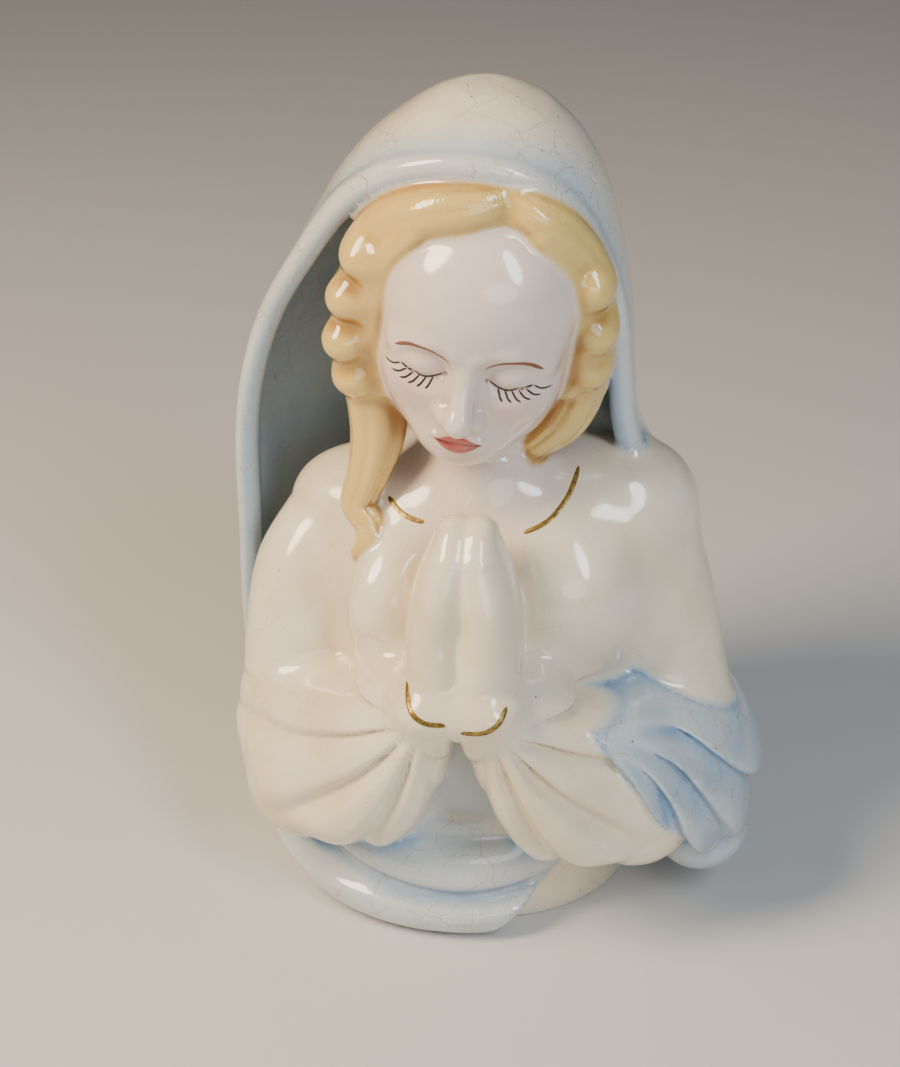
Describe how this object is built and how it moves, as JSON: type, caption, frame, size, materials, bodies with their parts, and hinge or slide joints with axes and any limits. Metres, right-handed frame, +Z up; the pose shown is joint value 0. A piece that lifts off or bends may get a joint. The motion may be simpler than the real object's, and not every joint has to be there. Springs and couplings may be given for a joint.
{
  "type": "madonna statue",
  "caption": "Glazed ceramic praying madonna bust with an open hooded veil, wavy hair, hands palm to palm and gathered sleeves on a flat foot.",
  "frame": {"origin": "point of the flat foot face, near its middle, under the head", "axes": "+Z up along the figure's height; the figure faces -Y and its left side is at +X"},
  "size_m": [0.16, 0.1284, 0.24],
  "materials": {
    "white_glaze": "high gloss clear glaze over an ivory white body, finely crazed",
    "blue_glaze": "high gloss clear glaze over airbrushed pale blue that fades to white, crazed on the hood",
    "skin_glaze": "high gloss clear glaze over a pale pinkish ivory, with painted features",
    "hair_glaze": "high gloss clear glaze over airbrushed golden yellow, deeper in the hollows",
    "gold": "thin worn gilt line fired on the glaze",
    "bisque": "unglazed, matt, wiped foot"
  },
  "bodies": {
    "root": {"gown_shell": "white_glaze", "foot_plate": "bisque", "veil_mantle_shell": "blue_glaze", "mantle_front": "blue_glaze", "left_arm_drape": "blue_glaze", "head": "skin_glaze", "neck": "skin_glaze", "crown_hair": "hair_glaze", "right_hair_waves": "hair_glaze", "left_hair_waves": "hair_glaze", "right_long_lock": "hair_glaze", "left_long_lock": "hair_glaze", "right_hand": "skin_glaze", "left_hand": "skin_glaze", "right_lower_sleeve": "white_glaze", "left_lower_sleeve": "white_glaze", "right_upper_sleeve": "white_glaze", "left_upper_sleeve": "white_glaze", "right_collar_line": "gold", "left_collar_line": "gold", "right_cuff_line": "gold", "left_cuff_line": "gold"}
  },
  "joints": []
}
